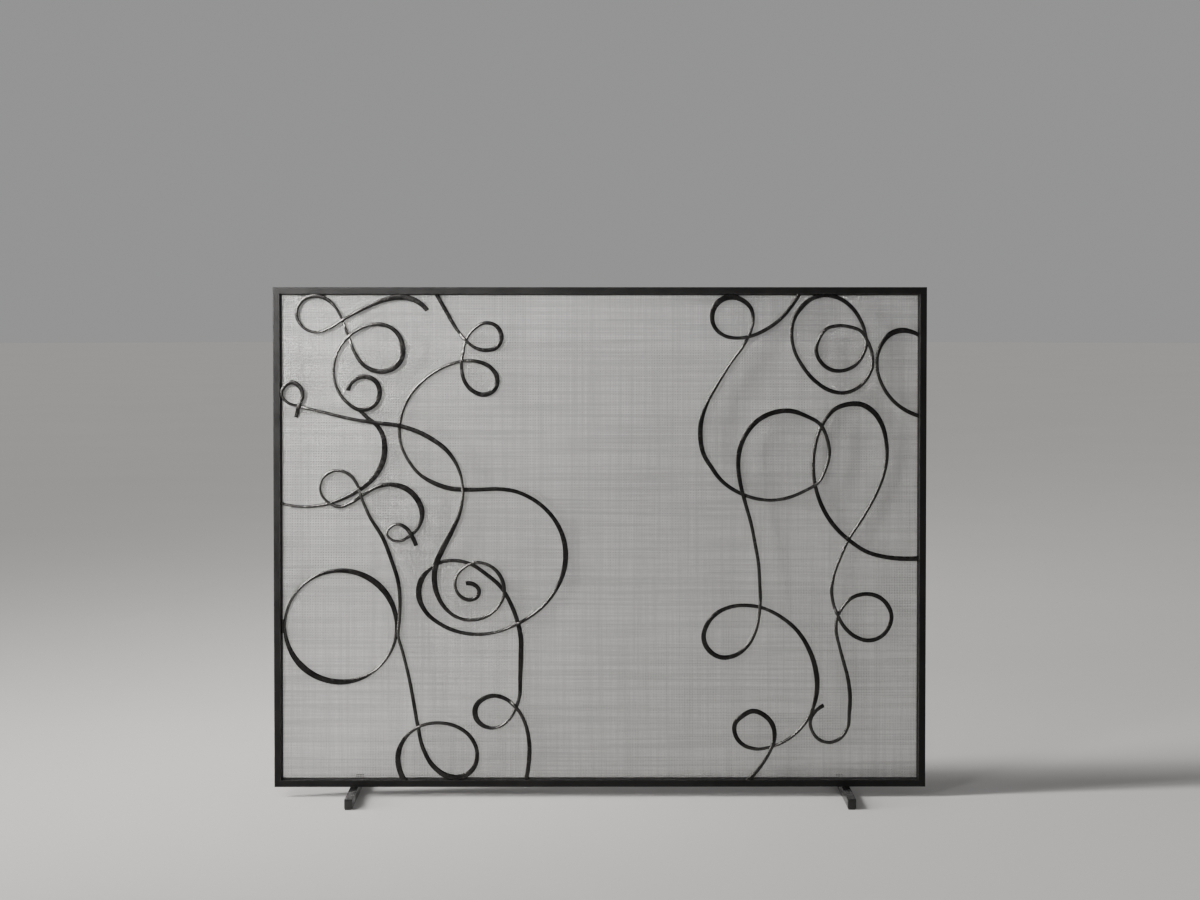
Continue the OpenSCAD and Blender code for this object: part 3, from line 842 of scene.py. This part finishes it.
def wires(low, high, across_places, along_places, first_sign, upright):
    """One group of parallel wires, each going over and under the wires it crosses."""
    wire_r = (CLOTH_HIGH[1] - CLOTH_LOW[1]) / 4
    middle_y = (CLOTH_HIGH[1] + CLOTH_LOW[1]) / 2
    outer_r = wire_r * WIRE_FULL
    turn = 2 * np.pi * (np.arange(WIRE_SIDES) + WIRE_TURN) / WIRE_SIDES
    along = np.concatenate([[low], along_places, [high]])
    sign = np.array([0] + [(-1) ** k for k in range(len(along_places))] + [0])
    verts, faces = [], []
    rings = len(along)
    k = np.arange(WIRE_SIDES)
    for number, across in enumerate(across_places):
        flip = 1 if (number + first_sign) % 2 else -1
        y = middle_y + flip * sign * wire_r
        side = across + outer_r * np.cos(turn)[None, :] + 0 * along[:, None]
        deep = y[:, None] + outer_r * np.sin(turn)[None, :] * WIRE_DEEP
        run = along[:, None] + 0 * side
        grid = (side, deep, run) if upright else (run, deep, side)
        verts.append(np.stack(grid, axis=-1).reshape(-1, 3))
        near = (number * rings + np.arange(rings - 1)[:, None]) * WIRE_SIDES
        far = near + WIRE_SIDES
        following = (k + 1) % WIRE_SIDES
        quads = np.stack([near + k, near + following, far + following, far + k], axis=-1)
        faces.append(quads.reshape(-1, 4) if upright else quads.reshape(-1, 4)[:, ::-1])
    return np.concatenate(verts) * MM, np.concatenate(faces)


def wire_mesh(name, verts, quads, rings):
    """A mesh of wires: quads along them and a triangle at each end of every wire."""
    first = np.arange(0, len(verts), rings * WIRE_SIDES)[:, None]
    forward = quads[0][1] < quads[0][3]
    order = np.arange(WIRE_SIDES)[::-1] if forward else np.arange(WIRE_SIDES)
    near = first + order
    far = first + (rings - 1) * WIRE_SIDES + order[::-1]
    corners = np.concatenate([quads.ravel(), near.ravel(), far.ravel()]).astype(np.int32)
    sizes = np.array([4] * len(quads) + [WIRE_SIDES] * (len(near) + len(far)))
    starts = np.concatenate([[0], np.cumsum(sizes)[:-1]]).astype(np.int32)
    mesh = bpy.data.meshes.new(name)
    mesh.vertices.add(len(verts))
    mesh.vertices.foreach_set("co", verts.astype(np.float32).ravel())
    mesh.loops.add(len(corners))
    mesh.loops.foreach_set("vertex_index", corners)
    mesh.polygons.add(len(sizes))
    mesh.polygons.foreach_set("loop_start", starts)
    mesh.update(calc_edges=True)
    mesh.validate()
    mesh.shade_smooth()
    return mesh


def evenly(low, high):
    """Places of parallel wires, one pitch apart, in the middle of the cloth."""
    count = int((high - low) / PITCH)
    return (low + high) / 2 + PITCH * (np.arange(count) - (count - 1) / 2)


def build_cloth():
    """Woven wire cloth, in groups of upright and of level wires."""
    low_x, high_x = CLOTH_LOW[0], CLOTH_HIGH[0]
    low_z, high_z = CLOTH_LOW[2], CLOTH_HIGH[2]
    xs, zs = evenly(low_x, high_x), evenly(low_z, high_z)
    for kind, low, high, across, along, first_sign in (
        ("upright", low_z, high_z, xs, zs, 0),
        ("level", low_x, high_x, zs, xs, 1),
    ):
        for group, part in enumerate(np.array_split(np.arange(len(across)), GROUPS)):
            sign = part[0] + first_sign
            verts, quads = wires(low, high, across[part], along, sign, kind == "upright")
            name = "wire_cloth_%s_%d" % (kind, group + 1)
            mesh = wire_mesh(name, verts, quads, len(along) + 2)
            place_piece(name, mesh, "wire_cloth", "mesh_panel")


def build_scrolls():
    """The ten forged scroll bars, settled over and under each other."""
    bars = [Bar(*row) for row in SCROLLS]
    settle(bars)
    for bar in bars:
        mesh = solid(bar.name + "_bar", *sweep(bar), SCROLL_SHARP_DEG)
        place_piece(bar.name + "_bar", mesh, "scroll_iron", bar.name)


LUG_H = 24
LUG_D = 4.0
LUG_BITE = 2                # how far the lug is sunk in the left stile
LUG_EDGE = 0.8


def build_lug():
    """The short flat that joins the ring to the left stile."""
    low = (OPEN_LEFT - LUG_BITE, REAR_LAYER_Y - LUG_D / 2, RING_MIDDLE[1] - LUG_H / 2)
    high = (RING_MIDDLE[0] - RING_R, REAR_LAYER_Y + LUG_D / 2, RING_MIDDLE[1] + LUG_H / 2)
    lug = block("ring_lug", low, high, LUG_EDGE)
    place_piece("ring_lug", lug, "scroll_iron", "scroll_left_ring")


SCREW_SIDES = 30
SCREW_SHARP_DEG = 35
HEX_HALF = math.pi / 6      # half of one side of a hexagon, seen from its middle
RAIL_SCREWS = (-480, -160, 160, 480)
STILE_SCREWS = (-330, 0, 330)
FOOT_SEAT = 4.5             # from the underside of a foot to the head of its screw

# Screws as rings of radius, height above the seat, and whether a ring is a hexagon
PAN_HEAD = [
    (1.5, -11.0, False), (1.5, 0.0, False), (2.7, 0.0, False), (2.75, 0.15, False),
    (2.75, 0.8, False), (2.6, 1.3, False), (2.25, 1.7, False), (1.7, 1.93, False),
    (1.35, 2.0, False), (1.0, 1.9, True), (1.0, 0.8, True), (0.4, 0.6, True),
]
PAN_HEAD_WORN = (7, 8, 9)
SOCKET_SHANK_R = 2.5
SOCKET_HEAD = [
    (SOCKET_SHANK_R, 0.0, False), (4.15, 0.0, False), (4.25, 0.1, False),
    (4.25, 2.6, False), (4.1, 2.9, False), (3.8, 3.0, False), (2.3, 3.0, False),
    (2.0, 2.85, True), (2.0, 1.2, True), (0.8, 0.9, True),
]
SOCKET_HEAD_WORN = (7, 8)


def lathe_rings(profile, centre, axis, up, across):
    """Points of a screw's rings, stacked along its axis."""
    verts = []
    for radius, height, hexagon in profile:
        for k in range(SCREW_SIDES):
            turn = 2 * math.pi * k / SCREW_SIDES
            r = radius
            if hexagon:
                r = radius / math.cos((turn + HEX_HALF) % (2 * HEX_HALF) - HEX_HALF)
            out = up * r * math.cos(turn) + across * r * math.sin(turn)
            verts.append(centre + axis * height + out)
    return verts


def stacked_faces(first, count):
    """Faces of a stack of rings, with both ends closed."""
    faces = []
    n = SCREW_SIDES
    for i in range(count - 1):
        for k in range(n):
            p, q = first + i * n + k, first + i * n + (k + 1) % n
            faces.append((p, q, q + n, p + n))
    faces.append(tuple(range(first, first + n)))
    faces.append(tuple(range(first + (count - 1) * n, first + count * n)))
    return faces


def screws(name, node, centres, axis, profile, worn_rings):
    """Equal screws with hexagon sockets."""
    up = Vector((1, 0, 0))
    across = axis.cross(up)
    verts, faces, wear_and_sheen = [], [], []
    for centre in centres:
        faces += stacked_faces(len(verts), len(profile))
        verts += lathe_rings(profile, centre, axis, up, across)
        for i in range(len(profile)):
            wear_and_sheen += [1.0 if i in worn_rings else 0.0] * SCREW_SIDES
    mesh = solid(name, np.array(verts) * MM, faces, wear_and_sheen, SCREW_SHARP_DEG)
    place_piece(name, mesh, "screw_steel", node)


def build_channel_screws():
    """Screws along the middle of the strip where the channels lap the frame."""
    base = CHANNEL_HIGH[1]
    line = (CHANNEL_HIGH[2] - OPEN_HIGH) / 2
    middle_z = (OPEN_LOW + OPEN_HIGH) / 2
    centres = []
    for x in RAIL_SCREWS:
        for z in (OPEN_LOW - line, OPEN_HIGH + line):
            centres.append(Vector((x, base, z)))
    for z in STILE_SCREWS:
        for x in (OPEN_LEFT - line, OPEN_RIGHT + line):
            centres.append(Vector((x, base, middle_z + z)))
    backward = Vector((0, 1, 0))
    screws(
        "channel_screw_heads", "channel_screws", centres, backward, PAN_HEAD, PAN_HEAD_WORN
    )


def build_foot_screws():
    """One screw up through the middle of each foot into the bottom rail."""
    underside = box_mm("left_foot")[0][2]
    centres = []
    for node in ("left_foot", "right_foot"):
        x, y, _ = middle_of(node)
        centres.append(Vector((x, y, underside + FOOT_SEAT)))
    shank = box_mm("foot_screws")[1][2] - underside - FOOT_SEAT
    profile = [(SOCKET_SHANK_R, -shank, False)] + SOCKET_HEAD
    downward = Vector((0, 0, -1))
    screws(
        "foot_socket_screws", "foot_screws", centres, downward, profile, SOCKET_HEAD_WORN
    )


FOOT_EDGE = 0.9
FOOT_EDGE_STEPS = 4
FOOT_BORE_R = 4.75
BORE_SIDES = 40


def bored(piece, place, radius, depth):
    """Cuts a round upright hole of a given depth, measured from its middle, in a piece."""
    shape = bmesh.new()
    bmesh.ops.create_cone(
        shape, cap_ends=True, segments=BORE_SIDES, radius1=radius * MM, radius2=radius * MM,
        depth=2 * depth * MM,
    )
    mesh = bpy.data.meshes.new("bore")
    shape.to_mesh(mesh)
    shape.free()
    cutter = bpy.data.objects.new("bore", mesh)
    bpy.context.scene.collection.objects.link(cutter)
    cutter.location = Vector(place) * MM
    cut = piece.modifiers.new("bore", "BOOLEAN")
    cut.operation = "DIFFERENCE"
    cut.solver = "EXACT"
    cut.object = cutter
    bpy.context.view_layer.update()
    finished = piece.evaluated_get(bpy.context.evaluated_depsgraph_get())
    cut_mesh = bpy.data.meshes.new_from_object(finished)
    piece.modifiers.remove(cut)
    piece.data = cut_mesh
    bpy.data.objects.remove(cutter)


def build_feet():
    """The feet, in a glossier coat of the frame's paint."""
    paint = frame_iron("foot_iron", FOOT_ROUGHNESS, FOOT_SPECULAR)
    for node in ("left_foot", "right_foot"):
        low, high = box_mm(node)
        mesh = block(node + "_bar", low, high, FOOT_EDGE, FOOT_EDGE_STEPS)
        foot = place_piece(node + "_bar", mesh, "frame_iron", node, paint)
        x, y, _ = middle_of(node)
        bored(foot, (x, y, low[2]), FOOT_BORE_R, FOOT_SEAT)


PAD_L = 26
PAD_INSET = 1               # of a pad from each side of its foot
PAD_EDGE = 0.6


def build_pads():
    """A floor pad under each end of both feet."""
    low, high = box_mm("foot_pads")
    foot_low, foot_high = box_mm("left_foot")
    pad_w = foot_high[0] - foot_low[0] - 2 * PAD_INSET
    for sx, side in ((-1, "left"), (1, "right")):
        for sy, end in ((-1, "front"), (1, "rear")):
            x = sx * (high[0] - pad_w / 2)
            y = sy * (high[1] - PAD_L / 2)
            pad_low = (x - pad_w / 2, y - PAD_L / 2, low[2])
            pad_high = (x + pad_w / 2, y + PAD_L / 2, high[2])
            name = "pad_%s_%s" % (side, end)
            mesh = block(name, pad_low, pad_high, PAD_EDGE)
            place_piece(name, mesh, "pad_rubber", "foot_pads")


build_frame()
build_channels()
build_cloth()
build_scrolls()
build_lug()
build_channel_screws()
build_foot_screws()
build_feet()
build_pads()

# ---------------------------------------------------------------- studio
# Metres from here on.

FLOOR_RADIUS = 40.0
FLOOR_SIDES = 96
SCREEN_MIDDLE = ((OPEN_LEFT + OPEN_RIGHT) / 2 * MM, 0, (OPEN_LOW + OPEN_HIGH) / 2 * MM)
WARM = (1.0, 0.985, 0.96)
NEAR_WHITE = (1.0, 0.99, 0.97)
COOL = (0.96, 0.98, 1.0)

# The sun: the direction that it comes from, strength, spread in degrees
SUN = ((-0.74, -0.18, 0.65), 2.3, 11)
# Name, place, target, width and height, watts, spread in degrees, colour
SOFTBOXES = [
    ("strip", (-4.0, -0.85, 1.9), (0, 0, 1.7), (0.5, 3.6), 270, 130, WARM),
    ("kicker", (-1.5, -2.4, 1.6), (-0.60, 0, 0.95), (0.9, 0.9), 22, 45, NEAR_WHITE),
    ("fill", (2.6, -4.0, 2.2), SCREEN_MIDDLE, (2.5, 2.5), 6, 180, COOL),
]
WORLD_COLOUR = (0.80, 0.80, 0.80)
WORLD_STRENGTH = 0.40

CAMERA_DISTANCE = 4.397     # from the front face of the frame
CAMERA_X = -0.018
EYE_HEIGHT = 0.869
LENS = 77.2
SENSOR = 36.0
TILT_DEG = 1.63
SHIFT_Y = -0.0713


def add_floor():
    shape = bmesh.new()
    bmesh.ops.create_circle(shape, cap_ends=True, segments=FLOOR_SIDES, radius=FLOOR_RADIUS)
    mesh = bpy.data.meshes.new("floor")
    shape.to_mesh(mesh)
    shape.free()
    mesh.materials.append(studio_floor())
    made = bpy.data.objects.new("floor", mesh)
    bpy.context.scene.collection.objects.link(made)


def add_sun(direction, strength, spread_deg):
    data = bpy.data.lights.new("sun", "SUN")
    data.energy = strength
    data.angle = math.radians(spread_deg)
    data.color = WARM
    lamp = bpy.data.objects.new("sun", data)
    bpy.context.scene.collection.objects.link(lamp)
    lamp.rotation_euler = Vector(direction).to_track_quat("Z", "Y").to_euler()


def add_softbox(name, place, target, size, watts, spread_deg, colour):
    data = bpy.data.lights.new(name, "AREA")
    data.shape = "RECTANGLE"
    data.size, data.size_y = size
    data.energy = watts
    data.spread = math.radians(spread_deg)
    data.color = colour
    lamp = bpy.data.objects.new(name, data)
    bpy.context.scene.collection.objects.link(lamp)
    lamp.location = place
    towards = Vector(target) - Vector(place)
    lamp.rotation_euler = towards.to_track_quat("-Z", "Y").to_euler()


def add_world():
    world = bpy.data.worlds.new("studio")
    bpy.context.scene.world = world
    world.use_nodes = True
    background = world.node_tree.nodes["Background"]
    background.inputs["Color"].default_value = (*WORLD_COLOUR, 1)
    background.inputs["Strength"].default_value = WORLD_STRENGTH


def add_camera():
    """A camera at the photograph's viewing angle, about level with the top of the screen."""
    data = bpy.data.cameras.new("camera")
    data.lens = LENS
    data.sensor_width = SENSOR
    data.shift_y = SHIFT_Y
    made = bpy.data.objects.new("camera", data)
    bpy.context.scene.collection.objects.link(made)
    made.location = (CAMERA_X, FRONT_Y * MM - CAMERA_DISTANCE, EYE_HEIGHT)
    turn = math.atan2(CAMERA_X, CAMERA_DISTANCE)
    made.rotation_euler = (math.radians(90 - TILT_DEG), 0, turn)
    bpy.context.scene.camera = made


add_floor()
add_sun(*SUN)
for row in SOFTBOXES:
    add_softbox(*row)
add_world()
add_camera()
